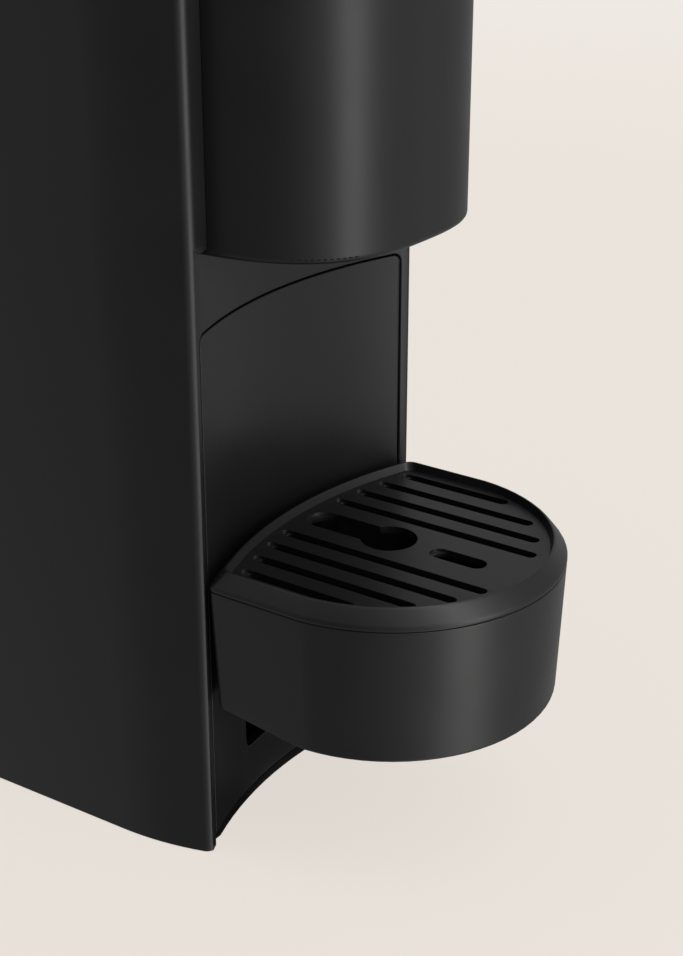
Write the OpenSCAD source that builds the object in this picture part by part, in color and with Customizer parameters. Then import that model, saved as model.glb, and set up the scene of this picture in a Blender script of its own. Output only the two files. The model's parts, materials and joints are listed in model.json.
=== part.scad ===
// Compact capsule coffee machine with a pull-out capsule container, a hook-on
// drip tray and a lift-off water tank. Units are millimetres, +Z is up, the
// front faces -Y, and the origin is the centre of the footprint on the table.

/* [Body] */
// Width across the flat sides
body_w = 112; // [110:1:116]
// Overall depth, from the nose of the drip tray to the back of the tank
total_depth = 330.8; // [328:0.4:336]
// Height of the side walls
casing_h = 250; // [250:1:254]
// Wall thickness of the casing
wall = 2.5; // [2.2:0.1:2.8]
// Height of the casing's lower edge above the table
ground_gap = 0.2; // [0.2:0.1:1.1]

/* [Front] */
// Radius of the hollow front face
front_r = 126; // [124:1:128]
// Depth of the hollow front face at its corners
front_depth = 9.6; // [9.2:0.1:10]
// Height of the brow above the hollow face
brow_z = 169.6; // [169:0.2:170]
// Rounding of the brow's lower edge
brow_r = 3; // [2:0.5:3.5]
// Rounding of the upright front corners
corner_r = 3; // [2.8:0.1:3.5]

/* [Head] */
// Half width of the head
head_w = 42.8; // [42.4:0.2:43.4]
// Reach of the head's nose in front of the hollow face
head_reach = 45.9; // [45:0.3:47]
// Fullness of the head's outline: 2 is an ellipse, more is squarer
head_full = 2.8; // [2.6:0.1:3]
// Height of the head's flat underside
head_z = 169.1; // [168.8:0.1:170]
// Rounding of the head's lower edge
head_fillet = 1.6; // [1:0.2:2.4]

/* [Capsule container] */
// Width of the container's front panel
panel_w = 90.1; // [89:0.1:90.4]
// Height of the panel's upper edge
panel_top = 149; // [148.5:0.5:152.5]

/* [Drip tray] */
// Reach of the tray in front of the hollow face
tray_reach = 83.4; // [82:0.2:85]
// Half width of the tray's rim, and radius of its round nose
tray_r = 48.2; // [47.5:0.1:48.6]
// Narrowing of the tray from its rim to its floor, each side
tray_draft = 1.5; // [1:0.1:2.5]
// Rise of the tray's underside towards the hollow face
tray_rise = 4.2; // [3:0.2:5]
// Height of the tray's underside
tray_z = 42.5; // [42:0.5:43]
// Height of the seam between the tray and its grid
tray_top = 81.2; // [81:0.1:82]
// Step between the two tray heights
slot_step = 42; // [38:1:42]

/* [Grid] */
// Distance from slot to slot
slot_pitch = 8.6; // [8.4:0.1:8.8]
// Width of a slot
slot_w = 3.4; // [3:0.1:3.8]
// Height of the grid's rim above its seam
grid_h = 5.4; // [5:0.1:5.6]

/* [Water tank] */
// Depth of the tank from front to back
tank_depth = 52.2; // [50:0.2:54]
// Wall thickness of the tank
tank_wall = 2.2; // [2:0.1:2.6]
// Rounding of the tank's rear corners
tank_corner = 24; // [18:1:28]
// Height of the dock that the tank stands on
dock_top = 22; // [22:0.5:24]

/* [Lever and brew unit] */
// Opening angle of the lever
lever_open = 70; // [60:1:70]
// Travel of the brew piston
stroke = 30; // [28:1:30]
// Height of the brew axis
brew_z = 202; // [201:0.5:203]
// Travel of the two buttons
button_travel = 1.5; // [1:0.1:1.5]

/* [Hidden] */
$fn = 96;

// Front and rear of the casing, and the axes of its round features
front_end = -total_depth / 2;
rear_end = total_depth / 2;
face_y = front_end + tray_reach;
chord_y = face_y - front_depth;
face_axis_y = face_y - front_r;
head_y = face_y + 1.3;
tank_front = rear_end - tank_depth;
casing_end = tank_front - 0.8;
half_w = body_w / 2;
// Each side wall leans in slightly towards the front, then bends to the corner
lean = 1.6;
lean_y = -10;
bend_y = -64;
bend_r = 88;
bend = [half_w + (bend_y - lean_y) * tan(lean) - bend_r * cos(lean),
        bend_y + bend_r * sin(lean)];
corner_y = chord_y + corner_r;
corner_x = bend[0] + sqrt(pow(bend_r - corner_r, 2) - pow(corner_y - bend[1], 2));
corner_a = atan2(corner_y - bend[1], corner_x - bend[0]);

// Levels of the covers
base_z = 1.2;
base_t = 3.6;
floor_z = base_z + base_t;
panel_z = 3.7;
skirt_z = 0.4;
cover_t = 6;
cover_z = casing_h + 0.2;
cover_top = cover_z + cover_t - 0.2;

// Feet and base screws
foot_r = 7;
foot_x = 38;
foot_ys = [-58, 98];
screw_x = 49.2;
screw_ys = [-40, 10, 60];
screw_r = 1.5;

// Drawer frame around the container
frame_x = 44.8;
frame_t = 2;
frame_top = 155;
frame_end = 30;

// Arc through the front ends of the grid's slots, and its distance from the rim
slot_r = 42.1;
slot_margin = 8.1;

// Capsule bin
bin_front = -70;
bin_end = 22;
bin_x = 41.5;
bin_top = 146;

// Slots that the drip tray's hooks go into
hook_x = [9, 22.7];
hook_z = 17.3;
hook_h = 10;
tongue_h = 6;
tongue_l = 8;

// Spout and capsule passage
spout_y = -113;
plate_y = -78;
gap_x = 20;

// Brew unit
housing_x = 28.2;
housing_t = 3;
piston_r = 21;
piston_end = -8;
pin_y = -36;
pin_r = 2.5;
pivot_y = 10;
pivot_r = 4;
arm_x = 32;
arm_t = 3;
cam_r = pivot_y - pin_y;
cam_gain = stroke / lever_open;
tube_r = 3;
bridge_y = 26;

// Lever handle
handle_z = cover_top + 0.6;
handle_t = 5.4;
handle_inset = 1.5;
handle_end = -46;
arm_top = [-98, -52];

// Buttons and their board
button_x = 13;
button_y = 26;
button_r = 9.5;
button_seat = 4.5;
board_z = 236;
board_t = 1.6;
switch_top = board_z + board_t + 3.6;

// Parts behind the container
pump_x = -24;
pump_y = 68;
meter_y = 90;
meter_r = 10;
hose_z = 13.5;
block_x = 27;
block_y = 66;

// Cord gland in the dock's rear wall, as X and Z
gland = [20, 12.5];

// Valve in the tank's floor
valve_x = -25;
valve_y = 138;
spigot_z = 16;
lid_axis = [tank_front + 6.7, casing_h + 2.2];
lid_r = 6.3;

// ---------------------------------------------------------------- helpers

function arc(cx, cy, r, a0, a1, n) =
    [for (i = [0:n]) let (a = a0 + (a1 - a0) * i / n)
        [cx + r * cos(a), cy + r * sin(a)]];

// Closes a right-hand outline with its own mirror image
function both_sides(p) =
    concat(p, [for (i = [len(p) - 1:-1:0]) [-p[i][0], p[i][1]]]);

// Plan of the casing, set in by d, up to y_end
function casing_plan(d, y_end) = both_sides(concat(
    arc(corner_x, corner_y, corner_r - d, -90, corner_a, 6),
    arc(bend[0], bend[1], bend_r - d, corner_a, -lean, 8),
    [[half_w - d, lean_y], [half_w - d, y_end]]));

// Plan of the head, set in by d, up to y_end
function head_plan(d, y_end) =
    let (w = head_w - d, reach = head_y - face_y + head_reach - d)
    both_sides(concat(
        [for (a = [-90:2.5:0]) [w * pow(cos(a), 2 / head_full),
                              head_y - reach * pow(-sin(a), 2 / head_full)]],
        [[w, y_end]]));

// Plan of the tank, set in by d
function tank_plan(d) = both_sides(concat(
    arc(half_w - 3, tank_front + 3, 3 - min(d, 2.8), -90, 0, 5),
    arc(half_w - tank_corner, rear_end - tank_corner, tank_corner - d, 0, 90, 14)));

// Plan of the drip tray, set in by d: straight sides, a round nose, and a
// hollow rear edge that follows the front face
function tray_plan(d) =
    let (r = tray_r - d, rr = front_r - 1 - d, c = 3,
         nose_y = front_end + tray_r,
         cx = r - c, cy = face_axis_y + sqrt(pow(rr - c, 2) - cx * cx),
         ca = atan2(cy - face_axis_y, cx))
    both_sides(concat(
        [for (i = [0:17]) let (a = -90 + 5 * i) [r * cos(a), nose_y + r * sin(a)]],
        arc(cx, cy, c, 0, ca, 6),
        [for (i = [0:11]) let (a = ca + (90 - ca) * (i + 0.5) / 12)
            [rr * cos(a), face_axis_y + rr * sin(a)]]));

module slab(points, z0, z1) {
    translate([0, 0, z0]) linear_extrude(z1 - z0) polygon(points);
}

module upright(x, y, z0, z1, r) {
    translate([x, y, z0]) cylinder(r = r, h = z1 - z0);
}

module along_y(x, z, y0, y1, r) {
    translate([x, y0, z]) rotate([-90, 0, 0]) cylinder(r = r, h = y1 - y0);
}

module along_x(y, z, x0, x1, r) {
    translate([x0, y, z]) rotate([0, 90, 0]) cylinder(r = r, h = x1 - x0);
}

module box(low, high) {
    translate(low) cube(high - low);
}

// A flat shape drawn in Y and Z, from x0 to x1
module side_plate(x0, x1) {
    translate([x0, 0, 0]) rotate([90, 0, 90]) linear_extrude(x1 - x0) children();
}

module each_side() {
    children();
    mirror([1, 0, 0]) children();
}

// Everything in front of the hollow face, shifted back by d
module face_cut(d, z0, z1) {
    translate([0, face_axis_y, z0]) cylinder(r = front_r + d, h = z1 - z0, $fn = 240);
}

// Solid through a list of rings that all have the same point count. Its first
// and last rings are capped, or joined to each other where looped is true.
module loft(rings, looped = false) {
    n = len(rings[0]);
    count = len(rings);
    links = looped ? count : count - 1;
    polyhedron(
        points = [for (ring = rings) each ring],
        faces = concat(
            [for (k = [0:links - 1], i = [0:n - 1])
                [k * n + i, (k + 1) % count * n + i, k * n + (i + 1) % n]],
            [for (k = [0:links - 1], i = [0:n - 1])
                [k * n + (i + 1) % n, (k + 1) % count * n + i, (k + 1) % count * n + (i + 1) % n]],
            looped ? [] : [[for (i = [0:n - 1]) i],
                           [for (i = [n - 1:-1:0]) (count - 1) * n + i]]));
}

function at_z(points, z) = [for (p = points) [p[0], p[1], z]];
function unit(v) = v / norm(v);
function heading(path, i) =
    unit(path[min(i + 1, len(path) - 1)] - path[max(i - 1, 0)]);

// Ring of a tube around one point of its path
function tube_ring(path, i, r, up, n) =
    let (t = heading(path, i), u = unit(cross(t, up)), v = cross(t, u))
    [for (k = [0:n - 1]) let (a = 360 * k / n)
        path[i] + r * cos(a) * u + r * sin(a) * v];

module tube(path, r, up = [0, 0, 1], n = 10) {
    loft([for (i = [0:len(path) - 1]) tube_ring(path, i, r, up, n)]);
}

// Smooth curve through hand-placed points
function spline_point(p, i, t) =
    let (a = p[max(i - 1, 0)], b = p[i], c = p[i + 1], d = p[min(i + 2, len(p) - 1)])
    0.5 * (2 * b + (c - a) * t + (2 * a - 5 * b + 4 * c - d) * t * t
           + (3 * b - a - 3 * c + d) * t * t * t);
function spline(p, steps) = concat(
    [for (i = [0:len(p) - 2], k = [0:steps - 1]) spline_point(p, i, k / steps)],
    [p[len(p) - 1]]);

// Compression spring with flat-lying end turns left open
module spring(x, y, z0, z1, r, wire, turns) {
    steps = 20 * turns;
    tube([for (i = [0:steps]) [x + r * cos(18 * i), y + r * sin(18 * i),
          z0 + wire + (z1 - z0 - 2 * wire) * i / steps]], wire, n = 6);
}

// ------------------------------------------------------- casing and covers

// Outline of the casing and the head together, as seen from above
module top_plan(d) {
    polygon(casing_plan(d, casing_end));
    polygon(head_plan(d, head_y + 20));
}

// Bar with a rounded lower edge that the hollow face stops under
module brow() {
    side_plate(-half_w, half_w) {
        translate([chord_y + brow_r, brow_z]) square([40, 2 * brow_r]);
        translate([chord_y, brow_z + brow_r]) square([40, brow_r + 1]);
        translate([chord_y + brow_r, brow_z + brow_r]) circle(r = brow_r);
    }
}

module rounded_door(w, z0, z1, r) {
    translate([0, face_y - 20, 0]) rotate([-90, 0, 0]) linear_extrude(16 + wall * 4)
        polygon([for (p = both_sides(concat([[w / 2, z0]],
            arc(w / 2 - r, z1 - r, r, 0, 90, 6)))) [p[0], -p[1]]]);
}

module main_casing() {
    color([0.14, 0.145, 0.15]) difference() {
        slab(casing_plan(0, casing_end), ground_gap, casing_h);
        difference() {
            slab(casing_plan(wall, casing_end + 1), 0, casing_h + 1);
            face_cut(wall, -1, casing_h + 2);
        }
        difference() {
            face_cut(0, 0, brow_z + brow_r);
            brow();
        }
        intersection() {
            face_cut(0, brow_z - 0.5, casing_h + 1);
            slab(head_plan(-0.1, head_y + 5), brow_z - 1, casing_h + 2);
        }
        rounded_door(panel_w + 1, 0, panel_top + 0.5, 2.5);
        box([-39, chord_y - 2, head_z + 3], [39, face_y + 6, casing_h + 1]);
    }
}

module head_shell() {
    edge = head_z + head_fillet;
    color([0.14, 0.145, 0.15]) difference() {
        union() {
            loft([for (a = [0:22.5:90])
                at_z(head_plan(head_fillet * (1 - sin(a)), head_y + 5),
                     edge - head_fillet * cos(a))]);
            slab(head_plan(0, head_y + 5), edge - 0.01, casing_h);
        }
        slab(head_plan(wall, head_y + 6), head_z + wall, casing_h + 1);
        difference() {
            box([-60, head_y - 60, 160], [60, head_y + 60, casing_h + 2]);
            face_cut(-0.15, 150, casing_h + 4);
        }
        upright(0, spout_y, head_z - 2, head_z + 8, 8);
    }
}

module top_cover() {
    color([0.14, 0.145, 0.15]) difference() {
        union() {
            translate([0, 0, cover_z]) linear_extrude(cover_t - 0.2) top_plan(0);
            slab([[-30, 60], [30, 60], [30, 100], [-30, 100]], cover_z - 4, cover_z);
            for (s = [-1, 1]) {
                upright(s * button_x, button_y, board_z + 7, cover_z + 1, 6.5);
                upright(s * 24, button_y, board_z + board_t, cover_z + 1, 3);
            }
        }
        translate([0, 0, cover_top - button_seat]) linear_extrude(button_seat + 1) {
            translate([0, button_y]) square([2 * button_x, 2 * button_r + 1], center = true);
            for (s = [-1, 1]) translate([s * button_x, button_y]) circle(r = button_r + 0.5);
        }
        for (s = [-1, 1]) upright(s * button_x, button_y, board_z + 6, cover_top + 1, 4.3);
        box([-gap_x, plate_y + 0.5, cover_z - 1], [gap_x, plate_y + stroke + 3, cover_top + 1]);
        each_side() box([arm_x - 0.8, -104, cover_z - 6],
                        [arm_x + arm_t + 0.8, pivot_y + 20, cover_top + 1]);
    }
}

module base_plate() {
    color([0.05, 0.05, 0.055]) difference() {
        union() {
            slab(casing_plan(wall + 0.3, tank_front + 8), base_z, floor_z);
            slab(tank_plan(wall + 0.3), base_z, floor_z);
            intersection() {
                slab(casing_plan(wall + 0.3, 0), skirt_z, base_z + 0.1);
                face_cut(3, 0, 10);
            }
        }
        face_cut(0.2, 0, 10);
        face_cut(3.4, panel_z - 0.3, 10);
        difference() {
            face_cut(wall + 0.3, 0, 10);
            box([-panel_w / 2 - 0.2, -120, -1], [panel_w / 2 + 0.2, 0, 11]);
        }
        for (x = [-foot_x, foot_x], y = foot_ys)
            upright(x, y, base_z - 1, base_z + 1.8, foot_r + 0.05);
        for (x = [-screw_x, screw_x], y = screw_ys) {
            upright(x, y, 0, floor_z + 1, screw_r + 0.2);
            upright(x, y, 0, base_z + 1.8, 3.2);
        }
        for (x = [-24:8:24]) box([x - 1.2, 50, 0], [x + 1.2, 84, floor_z + 1]);
    }
}

module rubber_feet() {
    color([0.08, 0.08, 0.08]) for (x = [-foot_x, foot_x], y = foot_ys)
        upright(x, y, 0, base_z + 1.8, foot_r);
}

module base_screws() {
    color("silver") for (x = [-screw_x, screw_x], y = screw_ys) difference() {
        union() {
            upright(x, y, base_z + 0.3, base_z + 1.75, 2.9);
            upright(x, y, base_z + 1.75, 13, screw_r);
        }
        for (a = [0, 90]) translate([x, y, base_z]) rotate(a)
            cube([3.6, 0.7, 1.8], center = true);
    }
}

module rear_panel() {
    color([0.1, 0.1, 0.105]) difference() {
        box([-half_w + wall + 0.3, casing_end - 4, floor_z + 0.1],
            [half_w - wall - 0.3, casing_end - 1.5, casing_h - 0.2]);
        along_y(valve_x, hose_z, casing_end - 5, casing_end, 4.2);
        for (z = [150:8:206]) box([-30, casing_end - 5, z], [30, casing_end, z + 3]);
    }
}

// ------------------------------------------------------- tank and its dock

module tank_dock() {
    color([0.12, 0.125, 0.13]) difference() {
        union() {
            difference() {
                slab(tank_plan(0), ground_gap, dock_top);
                slab(tank_plan(wall), 0, dock_top - 2.5);
            }
            upright(valve_x, valve_y, 8.5, dock_top, 11.5);
            along_y(valve_x, hose_z, casing_end - 7, valve_y, 3);
        }
        upright(valve_x, valve_y, 11, dock_top + 1, 9);
        along_y(valve_x, hose_z, casing_end - 10, valve_y, 1.8);
        along_y(gland[0], gland[1], rear_end - 5, rear_end + 1, 5.2);
        box([-half_w + wall, tank_front - 1, 0], [half_w - wall, tank_front + 5, floor_z + 0.1]);
    }
    color([0.12, 0.125, 0.13]) upright(valve_x, valve_y, 10.9, 16.9, 1.4);
}

module dock_seal() {
    color([0.35, 0.36, 0.37]) difference() {
        upright(valve_x, valve_y, 11.05, spigot_z - 0.1, 8.8);
        upright(valve_x, valve_y, 11, spigot_z, 5);
        along_y(valve_x, hose_z, valve_y - 10, valve_y, 1.8);
    }
}

module cord_gland() {
    color([0.06, 0.06, 0.06]) translate([gland[0], 0, gland[1]]) rotate([-90, 0, 0]) difference() {
        union() {
            translate([0, 0, rear_end - 4.5]) cylinder(r = 5.1, h = 4.4);
            translate([0, 0, rear_end - wall - 2.2]) cylinder(r = 6.6, h = 2.1);
        }
        translate([0, 0, rear_end - 8]) cylinder(r = 3.1, h = 12);
    }
}

module water_tank() {
    top = casing_h - 1.4;
    color([0.3, 0.32, 0.34, 0.45]) difference() {
        union() {
            difference() {
                slab(tank_plan(0), dock_top + 0.4, top);
                slab(tank_plan(tank_wall), dock_top + 2.8, top + 1);
                along_x(lid_axis[0], lid_axis[1], -60, 60, lid_r + 0.4);
            }
            upright(valve_x, valve_y, spigot_z, dock_top + 1, 8.4);
            for (s = [-1, 1]) {
                box([s * 36 - 2, tank_front + 0.5, top - 14],
                    [s * 36 + 2, lid_axis[0] + 2.4, lid_axis[1] - lid_r - 0.4]);
                box([s * 36 - 2, lid_axis[0] - 2.4, top - 8],
                    [s * 36 + 2, lid_axis[0] + 2.4, lid_axis[1]]);
                along_x(lid_axis[0], lid_axis[1], s * 36 - 2, s * 36 + 2, 2.5);
            }
        }
        upright(valve_x, valve_y, spigot_z - 1, dock_top + 0.4, 6.4);
        upright(valve_x, valve_y, dock_top, dock_top + 4, 3.6);
        along_x(lid_axis[0], lid_axis[1], -40, 40, 1.47);
    }
}

module tank_filter() {
    color([0.75, 0.76, 0.78]) difference() {
        upright(valve_x, valve_y, dock_top + 2.85, dock_top + 16, 10);
        upright(valve_x, valve_y, dock_top + 2, dock_top + 14.8, 8.8);
        for (a = [0:30:150]) translate([valve_x, valve_y, dock_top + 5]) rotate(a)
            translate([-12, -1.2, 0]) cube([24, 2.4, 8]);
    }
}

module tank_valve() {
    color([0.8, 0.8, 0.82]) {
        upright(valve_x, valve_y, spigot_z + 1, dock_top + 6, 1.6);
        upright(valve_x, valve_y, spigot_z + 1, spigot_z + 2.2, 5);
        upright(valve_x, valve_y, dock_top + 5.9, dock_top + 8, 5.6);
    }
}

module valve_spring() {
    color("silver") spring(valve_x, valve_y, spigot_z + 2.25, dock_top + 0.35, 4, 0.35, 3);
}

module tank_lid() {
    z0 = casing_h - 1.1;
    color([0.12, 0.125, 0.13]) difference() {
        union() {
            difference() {
                union() {
                    slab(tank_plan(0.3), z0, cover_top);
                    slab(tank_plan(tank_wall + 1.2), z0 - 2, z0 + 1);
                }
                box([-60, tank_front - 1, z0 - 3], [60, lid_axis[0], cover_top + 1]);
            }
            intersection() {
                along_x(lid_axis[0], lid_axis[1], -60, 60, lid_r);
                slab(tank_plan(0.3), z0 - 10, cover_top);
            }
        }
        difference() {
            slab(tank_plan(tank_wall + 3.2), z0 - 3, z0 + 3);
            along_x(lid_axis[0], lid_axis[1], -60, 60, lid_r + 0.01);
        }
        for (s = [-1, 1]) box([s * 36 - 2.5, tank_front - 1, z0 - 6],
                              [s * 36 + 2.5, lid_axis[0] + lid_r + 1, lid_axis[1] + 2.8]);
        along_x(lid_axis[0], lid_axis[1], -39, 39, 1.55);
        box([-12, rear_end - 5, z0 - 1], [12, rear_end + 1, z0 + 2.5]);
    }
}

module lid_pin() {
    color("silver") along_x(lid_axis[0], lid_axis[1], -38, 38, 1.45);
}

// ------------------------------------------- container, drip tray and grid

module hook_window(x0, x1, z0, h) {
    each_side() rotate([90, 0, 0]) translate([0, 0, -face_y - 12])
        linear_extrude(24) hook_outline(x0, x1, z0, h);
}

// Window with its lower outer corner rounded
module hook_outline(x0, x1, z0, h) {
    r = 3;
    polygon(concat([[x0, z0], [x0, z0 + h], [x1, z0 + h]],
                   arc(x1 - r, z0 + r, r, 0, -90, 6)));
}

module container_front() {
    color([0.14, 0.145, 0.15]) difference() {
        union() {
            intersection() {
                difference() {
                    rounded_door(panel_w, panel_z, panel_top, 2);
                    face_cut(0, 0, panel_top + 2);
                }
                face_cut(3, 0, panel_top + 2);
            }
            intersection() {
                box([-bin_x - 0.5, face_y - 12, floor_z + 0.2],
                    [bin_x + 0.5, bin_end + 2, floor_z + 2.2]);
                difference() {
                    box([-60, -100, 0], [60, 60, 20]);
                    face_cut(1, -1, 30);
                }
            }
        }
        for (z = [hook_z, hook_z + slot_step]) hook_window(hook_x[0], hook_x[1], z, hook_h);
    }
}

module capsule_bin() {
    z0 = floor_z + 2.3;
    color([0.2, 0.205, 0.21]) difference() {
        box([-bin_x, bin_front, z0], [bin_x, bin_end, bin_top]);
        box([-bin_x + 2, bin_front + 2, z0 + 2], [bin_x - 2, bin_end - 2, bin_top + 1]);
        translate([0, bin_end + 1, bin_top]) rotate([90, 0, 0]) cylinder(r = 16, h = 4);
    }
}

module drip_tray() {
    inner = 2;
    mid = (tray_z + tray_top) / 2;
    low = tray_z + 10;
    rise_y = face_y - 40;
    function ring(d, z, slope = 0) = [
        for (p = tray_plan(d + tray_draft * (tray_top - z) / (tray_top - tray_z)))
            [p[0], p[1], z + slope * (p[1] - front_end)]];
    color([0.14, 0.145, 0.15]) {
        difference() {
            loft([
                for (a = [0:22.5:90]) ring(1.2 * (1 - sin(a)), tray_z + 1.2 * (1 - cos(a))),
                ring(0, low),
                ring(0, mid),
                ring(0.05, tray_top - 0.1),
                ring(inner, tray_top - 0.1),
                ring(inner, mid),
                ring(inner, low),
                ring(inner, tray_z + 2.2, 0.055)
            ]);
            side_plate(-60, 60) polygon([[rise_y, tray_z], [rise_y, tray_z - 2],
                [face_y, tray_z - 2], [face_y, tray_z + tray_rise * 4 / 3]]);
        }
        each_side() difference() {
            box([hook_x[0] + 1, face_y - 4, hook_z + slot_step + 1],
                [hook_x[1] - 2, face_y + tongue_l, hook_z + slot_step + 1 + tongue_h]);
            face_cut(-2, 0, 200);
            box([0, face_y + tongue_l - 2, hook_z + slot_step - 1],
                [60, face_y + tongue_l + 1, hook_z + slot_step + 3]);
        }
    }
}

module grid_slot(x, y0, y1, w) {
    translate([x, 0, tray_top - 2]) linear_extrude(grid_h + 4) {
        translate([-w / 2, y0 + w / 2]) square([w, y1 - y0 - w]);
        for (y = [y0 + w / 2, y1 - w / 2]) translate([0, y]) circle(d = w);
    }
}

// Front and rear ends of the slot at x: each row of ends lies on its own arc
function slot_front(x) = front_end + slot_margin + slot_r - sqrt(slot_r * slot_r - x * x);
function slot_rear(x) = face_axis_y + sqrt(pow(front_r - 9, 2) - x * x);

// Shallow scoop behind the rear end of a slot
module scoop(x, y, r, z) {
    upright(x, y - r + 1.4, z - 0.9, z + 4, r);
}

module drip_grid() {
    top = tray_top + grid_h;
    field = top - 2.2;
    color([0.14, 0.145, 0.15]) difference() {
        union() {
            loft([
                at_z(tray_plan(0.3), tray_top),
                at_z(tray_plan(0), tray_top + 0.4),
                at_z(tray_plan(0), top - 4.3),
                at_z(tray_plan(0.4), top - 3.6),
                at_z(tray_plan(2.9), top - 0.5),
                at_z(tray_plan(3.5), top),
                at_z(tray_plan(3.9), top),
                at_z(tray_plan(4.7), field)
            ]);
            slab(tray_plan(2.4), tray_top - 2, tray_top + 0.2);
        }
        slab(tray_plan(5), tray_top - 3, field - 2.2);
        for (s = [-1, 1], k = [1.5:1:4.5]) let (x = s * k * slot_pitch) {
            grid_slot(x, slot_front(x), slot_rear(x), slot_w);
            scoop(x, slot_rear(x), slot_w / 2, field);
        }
        grid_slot(0, -147.4, -131.8, 5.8);
        scoop(0, -131.8, 2.9, field);
        upright(0, -117, tray_top - 3, top + 1, 7.8);
        grid_slot(0, -117, -92, 9.8);
        scoop(0, -92, 4.9, field);
    }
}

// --------------------------------------------------------- inner structure

module drawer_frame() {
    x1 = frame_x + frame_t;
    color([0.55, 0.56, 0.58]) difference() {
        union() {
            each_side() box([frame_x, face_y, floor_z + 0.05], [x1, frame_end, frame_top]);
            box([-x1, -76, frame_top - frame_t], [x1, frame_end, frame_top]);
            box([-x1, frame_end - frame_t, floor_z + 0.05], [x1, frame_end, frame_top]);
            for (x = [-screw_x, screw_x], y = screw_ys)
                upright(x, y, floor_z + 0.05, 16, 3.4);
            for (x = [-screw_x, screw_x])
                box([min(x, sign(x) * frame_x), frame_end - 2, floor_z + 0.05],
                    [max(x, sign(x) * frame_x), screw_ys[2], 16]);
            for (z = [36, 118]) pump_tab(z);
            for (z = [66, 120]) box([10, frame_end - 1, z], [44, block_y - 25.2, z + 6]);
        }
        for (x = [-screw_x, screw_x], y = screw_ys) upright(x, y, 4, 14, screw_r + 0.05);
        box([-23, -80, frame_top - 5], [23, -44, frame_top + 1]);
        for (z = [36, 118]) upright(pump_x, pump_y, z - 1, z + 7, 15.05);
    }
}

module pump_tab(z) {
    box([pump_x - 18, frame_end - 1, z], [pump_x + 18, pump_y, z + 5]);
    upright(pump_x, pump_y, z, z + 5, 18);
}

module brew_housing() {
    x1 = housing_x + housing_t;
    color([0.2, 0.21, 0.22]) difference() {
        union() {
            each_side() side_plate(housing_x, x1) polygon([
                [-92, 180], [-76, 180], [-72, frame_top + 0.05], [36, frame_top + 0.05],
                [36, 226], [-92, 226]]);
            box([-x1, -92, 180], [x1, plate_y - 2, 226]);
            box([-x1, bridge_y, brew_z - 12], [x1, bridge_y + 10, 226]);
            box([-x1, -40, frame_top + 0.05], [x1, -37, 178]);
        }
        each_side() side_plate(housing_x - 1, x1 + 1) {
            translate([pin_y, brew_z - pin_r - 0.1]) square([stroke, 2 * pin_r + 0.2]);
            for (y = [pin_y, pin_y + stroke]) translate([y, brew_z]) circle(r = pin_r + 0.1);
            translate([pivot_y, brew_z]) circle(r = 3.05);
        }
        along_y(0, brew_z, plate_y - 6, plate_y, 6);
        along_y(0, brew_z, -93, plate_y, 3);
        along_y(0, brew_z, bridge_y - 1, bridge_y + 11, tube_r + 0.05);
        for (x = [-24, 24], z = [186, 220]) along_y(x, z, -93, -82, 1.55);
    }
}

module extraction_plate() {
    color("silver") difference() {
        union() {
            along_y(0, brew_z, plate_y - 1.95, plate_y - 0.1, 20);
            for (x = [-9:4.5:9], z = [-9:4.5:9]) translate([x, plate_y - 0.1, brew_z + z])
                rotate([-90, 0, 0]) translate([0, 0, -0.05]) cylinder(r1 = 1.6, r2 = 0.6, h = 1.1, $fn = 24);
        }
        for (x = [-6.75:4.5:6.75], z = [-6.75:4.5:6.75])
            along_y(x, brew_z + z, plate_y - 3, plate_y + 1, 0.5);
    }
}

module coffee_outlet() {
    color([0.1, 0.1, 0.105]) difference() {
        union() {
            box([-27, -96, 182], [27, -92.05, 224]);
            box([-7, spout_y, brew_z - 7], [7, -94, brew_z + 7]);
            upright(0, spout_y, head_z + 0.4, brew_z + 2, 7.4);
            upright(0, spout_y, brew_z - 12, brew_z + 9, 10);
        }
        along_y(0, brew_z, spout_y, -90, 3);
        upright(0, spout_y, 160, brew_z + 3, 3.2);
        upright(0, spout_y, 160, head_z + 6, 5);
        for (x = [-24, 24], z = [186, 220]) along_y(x, z, -97, -91, 1.7);
    }
}

module housing_screws() {
    color("silver") for (x = [-24, 24], z = [186, 220]) {
        along_y(x, z, -98, -96.05, 2.8);
        along_y(x, z, -96.1, -83, 1.5);
    }
}

module inlet_tube() {
    color("silver") difference() {
        union() {
            along_y(0, brew_z, piston_end - 6, bridge_y + 18, tube_r);
            along_y(0, brew_z, bridge_y + 10.05, bridge_y + 13, 6);
        }
        along_y(0, brew_z, piston_end - 7, bridge_y + 19, 1.6);
    }
}

module pivot_pins() {
    color("silver") each_side() {
        along_x(pivot_y, brew_z, housing_x - 1.5, housing_x + housing_t + 0.1, 3);
        along_x(pivot_y, brew_z, housing_x + housing_t + 0.05, arm_x + arm_t + 0.1, pivot_r);
        along_x(pivot_y, brew_z, arm_x + arm_t + 0.15, arm_x + arm_t + 1.3, 5.4);
        along_x(pivot_y, brew_z, arm_x + arm_t, arm_x + arm_t + 1.3, 3);
    }
}

module pump_body() {
    color([0.75, 0.72, 0.62]) difference() {
        union() {
            upright(pump_x, pump_y, 28, 136, 10.95);
            upright(pump_x, pump_y, 22, 29, 3);
            upright(pump_x, pump_y, 135, 144, 3);
        }
        upright(pump_x, pump_y, 20, 146, 1.6);
    }
}

module pump_coil() {
    color([0.5, 0.5, 0.52]) difference() {
        box([pump_x - 21, pump_y - 20, 54], [pump_x + 21, pump_y + 20, 102]);
        upright(pump_x, pump_y, 50, 110, 11);
        for (s = [-1, 1]) box([pump_x + s * 15 - 3, pump_y - 21, 62],
                              [pump_x + s * 15 + 3, pump_y + 21, 94]);
    }
}

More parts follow.
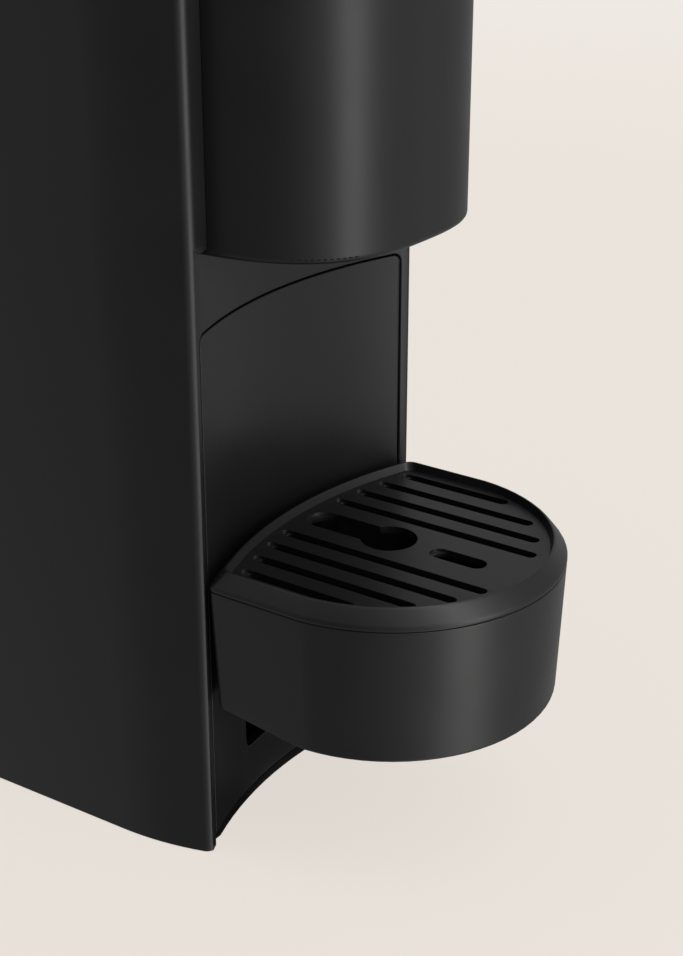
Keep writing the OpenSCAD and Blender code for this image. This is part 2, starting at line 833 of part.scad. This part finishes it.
module pump_mounts() {
    color([0.1, 0.1, 0.1]) for (z = [36, 118]) difference() {
        upright(pump_x, pump_y, z - 1.5, z + 6.5, 16.5);
        upright(pump_x, pump_y, z - 2, z + 7, 11);
        difference() {
            upright(pump_x, pump_y, z - 0.05, z + 5.05, 20);
            upright(pump_x, pump_y, z - 0.05, z + 5.05, 15);
        }
    }
}

module thermoblock() {
    color([0.72, 0.73, 0.75]) difference() {
        union() {
            box([block_x - 20, block_y - 25, 62], [block_x + 22, block_y + 25, 128]);
            for (z = [70:12:118]) box([block_x - 22, block_y - 22, z],
                                      [block_x + 24, block_y + 22, z + 3]);
            upright(block_x + 8, block_y + 14, 50, 63, 3);
            upright(block_x - 8, block_y - 12, 127, 138, 3);
        }
        upright(block_x + 8, block_y + 14, 48, 76, 1.6);
        upright(block_x - 8, block_y - 12, 114, 140, 1.6);
    }
}

module thermostats() {
    color([0.85, 0.84, 0.8]) for (y = [52, 76]) {
        upright(block_x + 6, y, 128.05, 134, 7);
        upright(block_x + 6, y, 133.9, 137, 4);
        for (s = [-2, 2]) box([block_x + 5.6 + s, y - 2, 136.9], [block_x + 6.4 + s, y + 2, 143]);
    }
}

module flow_meter() {
    color([0.85, 0.85, 0.87]) difference() {
        union() {
            upright(pump_x, meter_y, 6, 18, meter_r);
            along_y(valve_x, hose_z, meter_y + meter_r - 2, meter_y + meter_r + 3, 3);
            along_y(pump_x, 12, meter_y - meter_r - 3, meter_y - meter_r + 2, 3);
        }
        along_y(valve_x, hose_z, meter_y, meter_y + meter_r + 4, 1.6);
        along_y(pump_x, 12, meter_y - meter_r - 6, meter_y, 1.6);
        upright(pump_x, meter_y, 8, 16, meter_r - 2);
    }
}

hose_r = 4.2;
feed_route = [[pump_x, meter_y - meter_r - 0.3, 12], [pump_x, meter_y - meter_r - 3, 12],
              [pump_x, meter_y - meter_r - 6, 12], [pump_x, pump_y + 1, 14.5],
              [pump_x, pump_y, 18], [pump_x, pump_y, 21.5], [pump_x, pump_y, 25]];
pressure_route = [[pump_x, pump_y, 139], [pump_x, pump_y, 146], [pump_x, pump_y, 153],
                  [pump_x + 6, pump_y + 14, 164], [-4, 98, 150], [2, 100, 110], [8, 99, 62],
                  [22, 92, 34], [block_x + 8, block_y + 15, 33],
                  [block_x + 8, block_y + 14, 43], [block_x + 8, block_y + 14, 49],
                  [block_x + 8, block_y + 14, 55]];
brew_route = [[block_x - 8, block_y - 12, 131], [block_x - 8, block_y - 12, 139],
              [block_x - 8, block_y - 12, 147], [block_x - 9, block_y - 6, 172],
              [12, block_y, 194], [3, block_y - 4, 202], [0, bridge_y + 28, brew_z],
              [0, bridge_y + 21, brew_z], [0, bridge_y + 14, brew_z]];

// Hose along a route: its bore slips over the nipples at both ends
module hose(route, up) {
    path = spline(route, 5);
    last = len(path) - 1;
    loft(concat([for (i = [0:last]) tube_ring(path, i, hose_r, up, 12)],
                [for (i = [last:-1:0]) tube_ring(path, i, 3.15, up, 12)]), true);
}

module suction_hose() {
    color([0.85, 0.86, 0.86]) difference() {
        along_y(valve_x, hose_z, meter_y + meter_r + 0.2, casing_end - 4.1, 4);
        along_y(valve_x, hose_z, meter_y, casing_end, 3.1);
    }
}

module feed_hose() {
    color([0.85, 0.86, 0.86]) hose(feed_route, [1, 0, 0]);
}

module pressure_hose() {
    color([0.9, 0.9, 0.88]) hose(pressure_route, [1, 0, 0.2]);
}

module brew_hose() {
    color([0.9, 0.9, 0.88]) hose(brew_route, [1, 0.2, 0]);
}

module control_board() {
    color([0.05, 0.3, 0.15]) difference() {
        box([-28, 10, board_z], [28, 62, board_z + board_t]);
        for (s = [-1, 1]) upright(s * 24, button_y, board_z - 1, board_z + 3, 1.2);
    }
    color([0.1, 0.1, 0.1]) {
        box([-20, 44, board_z + board_t - 0.05], [-4, 56, board_z + 6]);
        box([4, 46, board_z + board_t - 0.05], [20, 54, board_z + 9]);
    }
}

module button_switches() {
    color([0.1, 0.1, 0.1]) for (s = [-1, 1]) {
        box([s * button_x - 3, button_y - 3, board_z + board_t + 0.05],
            [s * button_x + 3, button_y + 3, board_z + board_t + 3]);
        upright(s * button_x, button_y, switch_top - 0.7, switch_top, 1.7);
    }
}

// ---------------------------------------------------- lever and brew piston

// Handle plate seen from above: a round nose over the head, straight sides
module lever_handle() {
    color([0.14, 0.145, 0.15]) difference() {
        slab(head_plan(handle_inset, handle_end), handle_z, handle_z + handle_t);
        each_side() box([arm_x - 0.03, arm_top[0] - 0.03, handle_z - 1],
                        [arm_x + arm_t + 0.03, arm_top[1] + 0.03, handle_z + 3.5]);
        translate([0, 0, handle_z - 1]) linear_extrude(3) difference() {
            polygon(head_plan(handle_inset + 4, handle_end));
            each_side() translate([arm_x - 3, -140]) square([arm_t + 6, 120]);
        }
    }
}

// Place of the piston pin in the lever's frame when the lever is at angle a
function cam_point(a) =
    let (r = cam_r - cam_gain * a) [pivot_y - r * cos(a), brew_z - r * sin(a)];
function cam_heading(a) =
    let (t = cam_point(a + 1) - cam_point(a - 1)) atan2(t[1], t[0]);
function cam_edge(a, w) = cam_point(a) + w * [-sin(cam_heading(a)), cos(cam_heading(a))];

// Band of half width w along the pin's path, with round ends
function cam_band(w) =
    let (h0 = cam_heading(0), h1 = cam_heading(lever_open),
         p0 = cam_point(0), p1 = cam_point(lever_open), n = 14)
    concat([for (i = [0:n]) cam_edge(lever_open * i / n, w)],
           [for (i = [1:5]) p1 + w * [cos(h1 + 90 - 30 * i), sin(h1 + 90 - 30 * i)]],
           [for (i = [n:-1:0]) cam_edge(lever_open * i / n, -w)],
           [for (i = [1:5]) p0 + w * [cos(h0 - 90 - 30 * i), sin(h0 - 90 - 30 * i)]]);

module lever_arms() {
    color([0.6, 0.61, 0.63]) each_side() difference() {
        side_plate(arm_x, arm_x + arm_t) difference() {
            union() {
                polygon([[arm_top[0], handle_z + 3.4], [arm_top[1], handle_z + 3.4],
                         [arm_top[1], cover_z - 6], [pivot_y + 6, brew_z + 7],
                         [pivot_y - 8, brew_z - 5], [pin_y - 4, brew_z - 5],
                         [-72, 232], [arm_top[0], cover_z - 1]]);
                polygon(cam_band(7.5));
            }
            polygon(cam_band(pin_r + 0.12));
        }
        along_x(pivot_y, brew_z, arm_x - 1, arm_x + arm_t + 1, pivot_r + 0.06);
    }
}

module brew_piston() {
    color([0.2, 0.21, 0.22]) difference() {
        union() {
            along_y(0, brew_z, plate_y + 3, pin_y - 6, piston_r);
            along_y(0, brew_z, pin_y - 7, piston_end, 13);
            box([-27.8, pin_y - 5, brew_z - 8], [27.8, pin_y + 5, brew_z + 8]);
        }
        along_y(0, brew_z, plate_y - 1, -50, 15.5);
        along_y(0, brew_z, -46, piston_end + 1, tube_r + 0.05);
        along_y(0, brew_z, -51, -45, 1.2);
        each_side() along_x(pin_y, brew_z, 14, 30, pin_r + 0.02);
    }
}

module piston_pins() {
    color("silver") each_side() along_x(pin_y, brew_z, 14.1, arm_x + arm_t + 0.6, pin_r);
}

module injector_plate() {
    color("silver") difference() {
        union() {
            along_y(0, brew_z, -52, -50.05, 15.2);
            for (a = [0:120:240]) translate([7 * cos(a), -52, brew_z + 7 * sin(a)])
                rotate([90, 0, 0]) cylinder(r1 = 1.5, r2 = 0.5, h = 4, $fn = 24);
        }
        for (a = [60:120:300]) along_y(7 * cos(a), brew_z + 7 * sin(a), -53, -49, 0.9);
    }
}

module piston_gasket() {
    color([0.75, 0.3, 0.2]) difference() {
        along_y(0, brew_z, plate_y + 1.1, plate_y + 2.95, 20.5);
        along_y(0, brew_z, plate_y, plate_y + 4, 16);
    }
}

// --------------------------------------------------------------- buttons

module button(side) {
    x = side * button_x;
    color([0.2, 0.205, 0.21]) {
        difference() {
            upright(x, button_y, cover_top - 1, cover_top + 0.8, button_r);
            translate([x, button_y, cover_top + 0.8]) cylinder(r1 = 7.4, r2 = 8, h = 0.8, center = true);
        }
        upright(x, button_y, switch_top + button_travel + 0.2, cover_top - 0.9, 4.0);
    }
}

module button_spring(side) {
    z0 = cover_top - button_seat + 0.05;
    color("silver") spring(side * button_x, button_y, z0, cover_top - 1.05, 6, 0.35, 2);
}

module small_button() { button(-1); }
module large_button() { button(1); }
module small_button_spring() { button_spring(-1); }
module large_button_spring() { button_spring(1); }

main_casing();
head_shell();
top_cover();
base_plate();
rubber_feet();
base_screws();
rear_panel();
tank_dock();
dock_seal();
cord_gland();
drawer_frame();
brew_housing();
extraction_plate();
coffee_outlet();
housing_screws();
inlet_tube();
pivot_pins();
pump_body();
pump_coil();
pump_mounts();
thermoblock();
thermostats();
flow_meter();
suction_hose();
feed_hose();
pressure_hose();
brew_hose();
control_board();
button_switches();
lever_handle();
lever_arms();
brew_piston();
piston_pins();
injector_plate();
piston_gasket();
small_button();
large_button();
small_button_spring();
large_button_spring();
container_front();
capsule_bin();
drip_tray();
drip_grid();
water_tank();
tank_filter();
tank_valve();
valve_spring();
tank_lid();
lid_pin();
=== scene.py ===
import json
import math

import bpy
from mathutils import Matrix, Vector


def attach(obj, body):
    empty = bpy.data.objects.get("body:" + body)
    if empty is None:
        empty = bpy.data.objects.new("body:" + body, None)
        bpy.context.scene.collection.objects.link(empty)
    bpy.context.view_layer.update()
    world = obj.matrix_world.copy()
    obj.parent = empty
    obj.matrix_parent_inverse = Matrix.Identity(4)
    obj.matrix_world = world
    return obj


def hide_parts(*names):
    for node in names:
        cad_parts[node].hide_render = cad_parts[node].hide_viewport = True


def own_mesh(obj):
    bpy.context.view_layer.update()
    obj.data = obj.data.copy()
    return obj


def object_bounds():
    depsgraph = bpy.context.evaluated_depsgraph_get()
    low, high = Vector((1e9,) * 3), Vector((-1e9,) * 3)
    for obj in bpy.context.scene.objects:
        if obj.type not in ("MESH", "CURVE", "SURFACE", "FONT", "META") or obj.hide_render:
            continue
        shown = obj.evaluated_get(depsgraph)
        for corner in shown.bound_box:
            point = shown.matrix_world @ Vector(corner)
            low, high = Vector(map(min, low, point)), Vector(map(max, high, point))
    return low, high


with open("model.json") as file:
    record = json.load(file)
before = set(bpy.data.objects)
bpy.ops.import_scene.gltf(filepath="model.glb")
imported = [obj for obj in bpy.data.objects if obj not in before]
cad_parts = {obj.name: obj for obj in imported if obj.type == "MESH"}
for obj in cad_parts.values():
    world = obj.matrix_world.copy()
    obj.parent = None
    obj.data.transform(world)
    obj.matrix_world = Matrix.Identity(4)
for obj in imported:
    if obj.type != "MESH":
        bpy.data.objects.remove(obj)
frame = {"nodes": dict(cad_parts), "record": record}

cad_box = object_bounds()
MM = 0.001

# ---------------------------------------------------------------- camera
# Place in metres, heading and downward tilt in degrees, lens and sensor in millimetres.
CAMERA_AT = (-0.35831, -0.35052, 0.28635)
CAMERA_AZIMUTH = -55.18
CAMERA_DOWN = 23.3
CAMERA_LENS = 65.46
CAMERA_SENSOR = 36
CAMERA_REACH = (0.01, 60)


def add_camera():
    turn, tilt = math.radians(CAMERA_AZIMUTH), math.radians(CAMERA_DOWN)
    level = math.cos(tilt)
    back = Vector((math.sin(turn) * level, -math.cos(turn) * level, math.sin(tilt)))
    data = bpy.data.cameras.new("camera")
    data.lens = CAMERA_LENS
    data.sensor_width = CAMERA_SENSOR
    data.clip_start, data.clip_end = CAMERA_REACH
    camera = bpy.data.objects.new("camera", data)
    bpy.context.scene.collection.objects.link(camera)
    camera.location = CAMERA_AT
    camera.rotation_euler = (-back).to_track_quat("-Z", "Y").to_euler()
    bpy.context.scene.camera = camera


# ---------------------------------------------------------------- node trees
class Tree:
    """A node tree with short calls to add nodes and link them."""

    def __init__(self, owner):
        owner.use_nodes = True
        self.tree = owner.node_tree
        self.tree.nodes.clear()

    def add(self, kind, inputs=(), **settings):
        node = self.tree.nodes.new(kind)
        for key, value in settings.items():
            setattr(node, key, value)
        for key, value in dict(inputs).items():
            if isinstance(value, bpy.types.NodeSocket):
                self.tree.links.new(value, node.inputs[key])
            else:
                node.inputs[key].default_value = value
        return node

    def math(self, operation, a, b=0.0):
        return self.add("ShaderNodeMath", {0: a, 1: b}, operation=operation).outputs[0]

    def span(self, value, low, high, to_low=0.0, to_high=1.0, smooth=True):
        """Maps low..high of a value to to_low..to_high, held at the ends."""
        kind = "SMOOTHSTEP" if smooth else "LINEAR"
        inputs = {"Value": value, "From Min": low, "From Max": high,
                  "To Min": to_low, "To Max": to_high}
        return self.add("ShaderNodeMapRange", inputs, interpolation_type=kind).outputs[0]

    def mix(self, factor, a, b):
        node = self.add("ShaderNodeMix", data_type="RGBA")
        for socket, value in ((0, factor), (6, a), (7, b)):
            if isinstance(value, bpy.types.NodeSocket):
                self.tree.links.new(value, node.inputs[socket])
            else:
                node.inputs[socket].default_value = value
        return node.outputs[2]

    def dimmed(self, colour, factor):
        """A colour from another node, times a plain factor."""
        node = self.add("ShaderNodeMix", data_type="RGBA", blend_type="MULTIPLY")
        node.inputs[0].default_value = 1.0
        self.tree.links.new(colour, node.inputs[6])
        node.inputs[7].default_value = (factor, factor, factor, 1.0)
        return node.outputs[2]

    def place(self):
        return self.add("ShaderNodeTexCoord").outputs["Object"]

    def stretched(self, factors):
        inputs = {"Vector": self.place(), "Scale": factors}
        return self.add("ShaderNodeMapping", inputs).outputs[0]

    def noise(self, scale, detail=2.0, roughness=0.5, vector=None):
        inputs = {"Vector": vector or self.place(), "Scale": scale,
                  "Detail": detail, "Roughness": roughness}
        return self.add("ShaderNodeTexNoise", inputs).outputs["Fac"]

    def bump(self, height, strength, distance):
        inputs = {"Height": height, "Strength": strength, "Distance": distance}
        return self.add("ShaderNodeBump", inputs).outputs[0]

    def finish(self, inputs, extra=()):
        """Ends a material with a Principled shader."""
        shader = self.add("ShaderNodeBsdfPrincipled", inputs)
        for key, value in dict(extra).items():
            shader.inputs[key].default_value = value
        self.add("ShaderNodeOutputMaterial", {"Surface": shader.outputs[0]})


def tint(colour, factor):
    return tuple(min(1.0, c * factor) for c in colour[:3]) + (1.0,)


# ---------------------------------------------------------------- materials
GRAIN_DEPTH = 0.02 * MM
RIPPLE_DEPTH = 0.1 * MM
TRACK_DEPTH = 0.05 * MM


def moulded(name, colour, roughness, grain=0.25, grain_size=0.35 * MM, wear=0.06, extra=()):
    """Moulded plastic or rubber: a fine cast grain, with slow changes of tone and gloss."""
    material = bpy.data.materials.new(name)
    t = Tree(material)
    slow = t.noise(28.0, 4.0, 0.6)
    fine = t.noise(1 / grain_size, 3.0, 0.6)
    grains = t.noise(0.35 / grain_size, 2.0, 0.5)
    tone = t.mix(slow, tint(colour, 0.86), tint(colour, 1.14))
    tone = t.mix(t.span(fine, 0.3, 0.7), t.dimmed(tone, 0.9), tone)
    gloss = t.math("ADD", t.span(slow, 0.3, 0.7, roughness - wear / 2, roughness + wear / 2),
                   t.span(fine, 0.3, 0.7, -0.03, 0.03))
    height = t.math("ADD", fine, t.math("MULTIPLY", grains, 0.6))
    normal = t.bump(height, grain, GRAIN_DEPTH)
    t.finish({"Base Color": tone, "Roughness": gloss, "Normal": normal, "IOR": 1.5}, extra)
    return material


def brushed(name, colour, roughness, along=(1, 1, 1), depth=0.12):
    """Brushed metal: fine parallel scratches, with a slow change of tone."""
    material = bpy.data.materials.new(name)
    t = Tree(material)
    lines = t.noise(900.0, 3.0, 0.6, t.stretched(along))
    slow = t.noise(35.0, 3.0, 0.5)
    tone = t.mix(t.span(lines, 0.25, 0.75), tint(colour, 0.8), tint(colour, 1.12))
    gloss = t.math("ADD", t.span(lines, 0.3, 0.7, roughness - 0.06, roughness + 0.08),
                   t.span(slow, 0.3, 0.7, -0.03, 0.03))
    normal = t.bump(lines, depth, GRAIN_DEPTH)
    t.finish({"Base Color": tone, "Roughness": gloss, "Normal": normal, "Metallic": 1.0})
    return material


def clear_plastic(name, colour, alpha, roughness):
    """Smoked clear plastic: light flow marks in its tone and gloss."""
    material = bpy.data.materials.new(name)
    t = Tree(material)
    flow = t.noise(16.0, 3.0, 0.5, t.stretched((1, 1, 0.35)))
    ripple = t.noise(60.0, 2.0, 0.5)
    tone = t.mix(flow, tint(colour, 0.8), tint(colour, 1.2))
    gloss = t.span(flow, 0.3, 0.7, roughness - 0.03, roughness + 0.05)
    normal = t.bump(ripple, 0.08, RIPPLE_DEPTH)
    inputs = {"Base Color": tone, "Roughness": gloss, "Normal": normal, "Alpha": alpha}
    t.finish(inputs, {"IOR": 1.49})
    return material


def circuit_board(name):
    """Green solder mask with a faint maze of tracks under it."""
    material = bpy.data.materials.new(name)
    t = Tree(material)
    inputs = {"Vector": t.place(), "Scale": 420.0}
    cells = t.add("ShaderNodeTexVoronoi", inputs, distance="CHEBYCHEV")
    tracks = t.span(cells.outputs["Distance"], 0.42, 0.5)
    tone = t.mix(tracks, (0.01, 0.09, 0.04, 1), (0.03, 0.2, 0.09, 1))
    gloss = t.span(t.noise(60.0), 0.3, 0.7, 0.3, 0.4)
    normal = t.bump(tracks, 0.2, TRACK_DEPTH)
    t.finish({"Base Color": tone, "Roughness": gloss, "Normal": normal})
    return material


BLACK = (0.0072, 0.0075, 0.0082, 1)
# Near-black for the base, darker than the casing: painted shade for its recessed strip along the
# floor.
DARKEST = (0.002, 0.002, 0.0022, 1)
# Material slot -> its material.
MATERIALS = {
    "casing": moulded("satin_black_casing", BLACK, 0.38),
    "cover": moulded("satin_black_cover", BLACK, 0.37),
    "tray": moulded("satin_black_tray", BLACK, 0.38),
    # The base is darker and less shiny than the casing: painted shade for the recessed strip
    # along the floor.
    "base": moulded("black_base_painted_shade", DARKEST, 0.75, 0.4, extra={"Specular IOR Level": 0.12}),
    "foot_rubber": moulded("foot_rubber", (0.012, 0.012, 0.012, 1), 0.8, 0.5, 0.5 * MM),
    "bin": moulded("bin_plastic", (0.022, 0.0225, 0.024, 1), 0.55, 0.3),
    "tank": clear_plastic("smoked_tank", (0.05, 0.055, 0.06, 1), 0.5, 0.1),
    "lever_metal": brushed("lever_steel", (0.42, 0.43, 0.44, 1), 0.34, (1, 0.04, 1)),
    "steel": brushed("bright_steel", (0.6, 0.6, 0.6, 1), 0.26, (1, 1, 0.05)),
    "inner_plastic": moulded("inner_plastic", (0.05, 0.052, 0.055, 1), 0.55, 0.4, 0.5 * MM),
    "frame_plastic": moulded("frame_plastic", (0.17, 0.18, 0.19, 1), 0.5, 0.3, 0.5 * MM),
    "pump_plastic": moulded("pump_nylon", (0.5, 0.45, 0.32, 1), 0.45, 0.25, 0.5 * MM),
    "coil": moulded("coil_steel", (0.16, 0.16, 0.17, 1), 0.38, 0.2, 0.6 * MM, 0.12),
    "heater": brushed("cast_aluminium", (0.55, 0.56, 0.57, 1), 0.45, (1, 1, 1), 0.4),
    "ceramic": moulded("ceramic", (0.7, 0.68, 0.6, 1), 0.5, 0.2, 0.4 * MM),
    "hose": moulded("silicone_hose", (0.6, 0.61, 0.6, 1), 0.4, 0.15, 0.8 * MM,
                    extra={"Subsurface Weight": 0.15}),
    "seal": moulded("silicone_seal", (0.33, 0.07, 0.04, 1), 0.55, 0.25, 0.5 * MM),
    "board": circuit_board("solder_mask"),
    "switch": moulded("switch_plastic", (0.02, 0.02, 0.021, 1), 0.45, 0.25),
    "button": moulded("button_plastic", (0.024, 0.0245, 0.026, 1), 0.38),
    "filter_mesh": moulded("filter_plastic", (0.6, 0.61, 0.62, 1), 0.5, 0.35, 0.6 * MM),
}
SLOT_OF = {part["node"]: part["material_slot"] for part in frame["record"]["subparts"]}


# ---------------------------------------------------------------- CAD nodes
WELD_GAP = 0.004 * MM
SHARP_ANGLE = 38
# Rounding of the sharp edges: node name -> width in millimetres.
EDGE = {
    "main_casing": 0.35, "top_cover": 0.5, "base_plate": 0.3, "rear_panel": 0.3,
    "tank_dock": 0.4, "lever_handle": 0.8, "lever_arms": 0.3, "container_front": 0.35,
    "capsule_bin": 0.3, "drip_tray": 0.35, "drip_grid": 0.35, "water_tank": 0.5, "tank_lid": 0.6,
    "small_button": 0.35, "large_button": 0.35, "cord_gland": 0.3, "brew_housing": 0.3,
    "drawer_frame": 0.3, "thermoblock": 0.4, "pump_body": 0.3, "rubber_feet": 0.4,
    "brew_piston": 0.25, "coffee_outlet": 0.25, "control_board": 0.15, "tank_filter": 0.2,
}


def soften(name, node):
    """Joins a node's faces and rounds its sharp edges, so that they catch the light."""
    weld = node.modifiers.new("weld", "WELD")
    weld.merge_threshold = WELD_GAP
    if name in EDGE:
        bevel = node.modifiers.new("round_edges", "BEVEL")
        bevel.width = EDGE[name] * MM
        bevel.segments = 2
        bevel.limit_method = "ANGLE"
        bevel.angle_limit = math.radians(SHARP_ANGLE)
        bevel.use_clamp_overlap = name == "drip_grid"
        bevel.miter_outer = "MITER_ARC"
        bevel.harden_normals = False
    smooth = node.modifiers.new("even_normals", "WEIGHTED_NORMAL")
    smooth.keep_sharp = True
    smooth.weight = 50


def dress(name, node):
    """Gives a node its material, smooth faces and soft edges."""
    if "custom_normal" in node.data.attributes:
        node.data.attributes.remove(node.data.attributes["custom_normal"])
    node.data.materials.clear()
    node.data.materials.append(MATERIALS[SLOT_OF[name]])
    node.data.polygons.foreach_set("use_smooth", [True] * len(node.data.polygons))
    soften(name, node)


def add_spring(button):
    """The spring under a button: a copy of its mesh, attached to the machine in place of the
    original.
    """
    name = button + "_spring"
    turns = frame["nodes"][name].copy()
    turns.data = turns.data.copy()
    turns.name = button + "_turns"
    bpy.context.scene.collection.objects.link(turns)
    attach(turns, "machine")
    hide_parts(name)
    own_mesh(turns)


# ---------------------------------------------------------------- floor and light
FLOOR_TONE = (0.884, 0.828, 0.768, 1)
FAR_TONE = (0.922, 0.878, 0.826, 1)
FLOOR_GLOW = 0.8
FLOOR_SIZE = 40
FLOOR_DROP = 0.05 * MM
# Corners of the black card on the table, in millimetres: a dark sheet seen only in reflections,
# painted shade for the floor in the tray's shadow.
SHADE_CARD = ((-46, -128, 0.3), (110, -84, 0.3))

AMBIENT = 0.09
BOUNCE = 0.17
LOW_LIGHT = 0.45
CEILING = 0.36
# Upright lights: azimuth of the middle, reach and core in degrees, and strength.
LOBES = ((-4, 20, 3, 3.0), (-5, 80, 8, 0.5), (95, 75, 10, 0.3), (-150, 42, 0, 0.34))


def add_floor():
    """Pale floor that glows a little; it fades to a lighter tone away from the machine."""
    material = bpy.data.materials.new("pale_floor")
    t = Tree(material)
    place = t.place()
    tone = t.mix(t.noise(0.8, 1.0, 0.4, place), tint(FLOOR_TONE, 0.99), tint(FLOOR_TONE, 1.01))
    far = t.add("ShaderNodeVectorMath", {0: place}, operation="LENGTH").outputs["Value"]
    tone = t.mix(t.span(far, 0.5, 1.8), tone, FAR_TONE)
    lit = t.add("ShaderNodeBsdfDiffuse", {"Color": tone})
    glow = t.add("ShaderNodeEmission", {"Color": tone, "Strength": 1.0})
    both = t.add("ShaderNodeMixShader", {0: FLOOR_GLOW, 1: lit.outputs[0], 2: glow.outputs[0]})
    t.add("ShaderNodeOutputMaterial", {"Surface": both.outputs[0]})
    bpy.ops.mesh.primitive_plane_add(size=FLOOR_SIZE, location=(0, 0, cad_box[0].z - FLOOR_DROP))
    floor = bpy.context.object
    floor.name = "floor"
    floor.data.materials.append(material)
    floor.visible_glossy = False
    floor.visible_shadow = False


def add_shade_card():
    """Black card on the table under the tray, seen only in the machine's own reflections:
    painted shade standing in for the floor in the tray's shadow.
    """
    material = bpy.data.materials.new("painted_shade_black_card")
    t = Tree(material)
    tone = t.mix(t.noise(30.0), (0.001, 0.001, 0.001, 1), (0.002, 0.002, 0.002, 1))
    card = t.add("ShaderNodeBsdfDiffuse", {"Color": tone})
    t.add("ShaderNodeOutputMaterial", {"Surface": card.outputs[0]})
    low, high = (Vector(corner) * MM for corner in SHADE_CARD)
    bpy.ops.mesh.primitive_plane_add(size=1, location=(low + high) / 2)
    shade_card_plane = bpy.context.object
    shade_card_plane.scale = (high.x - low.x, high.y - low.y, 1)
    shade_card_plane.name = "shade_card_plane"
    shade_card_plane.data.materials.append(material)
    shade_card_plane.visible_camera = False
    shade_card_plane.visible_diffuse = False
    shade_card_plane.visible_shadow = False


def add_studio():
    """Soft studio light: a dim room, upright lights around the machine and a soft ceiling."""
    world = bpy.data.worlds.new("studio")
    bpy.context.scene.world = world
    t = Tree(world)
    look = t.add("ShaderNodeTexCoord").outputs["Generated"]
    x, y, z = t.add("ShaderNodeSeparateXYZ", {0: look}).outputs
    side = t.math("DEGREES", t.math("ARCTAN2", x, t.math("MULTIPLY", y, -1.0)))
    light = 0.0
    for centre, reach, core, strength in LOBES:
        away = t.math("ABSOLUTE", t.math("SUBTRACT", side, centre))
        light = t.math("ADD", light, t.span(away, reach, core, 0.0, strength))
    light = t.math("MULTIPLY", light, t.span(z, -0.8, 0.0, LOW_LIGHT, 1.0, smooth=False))
    light = t.math("ADD", light, t.span(z, -0.25, -0.6, AMBIENT, BOUNCE))
    light = t.math("ADD", light, t.span(z, 0.5, 0.95, 0.0, CEILING))
    seen = t.add("ShaderNodeLightPath").outputs["Is Camera Ray"]
    room = t.add("ShaderNodeBackground", {"Color": (1, 0.99, 0.975, 1), "Strength": light})
    backdrop = t.add("ShaderNodeBackground", {"Color": FLOOR_TONE, "Strength": 1.0})
    both = t.add("ShaderNodeMixShader", {0: seen, 1: room.outputs[0], 2: backdrop.outputs[0]})
    t.add("ShaderNodeOutputWorld", {"Surface": both.outputs[0]})


# ---------------------------------------------------------------- the scene
add_camera()
add_floor()
# Dark card seen only in reflections: painted shade under the tray.
add_shade_card()
add_studio()
for name, node in frame["nodes"].items():
    dress(name, node)
for button in ("small_button", "large_button"):
    add_spring(button)
bpy.context.scene.view_settings.view_transform = "Standard"
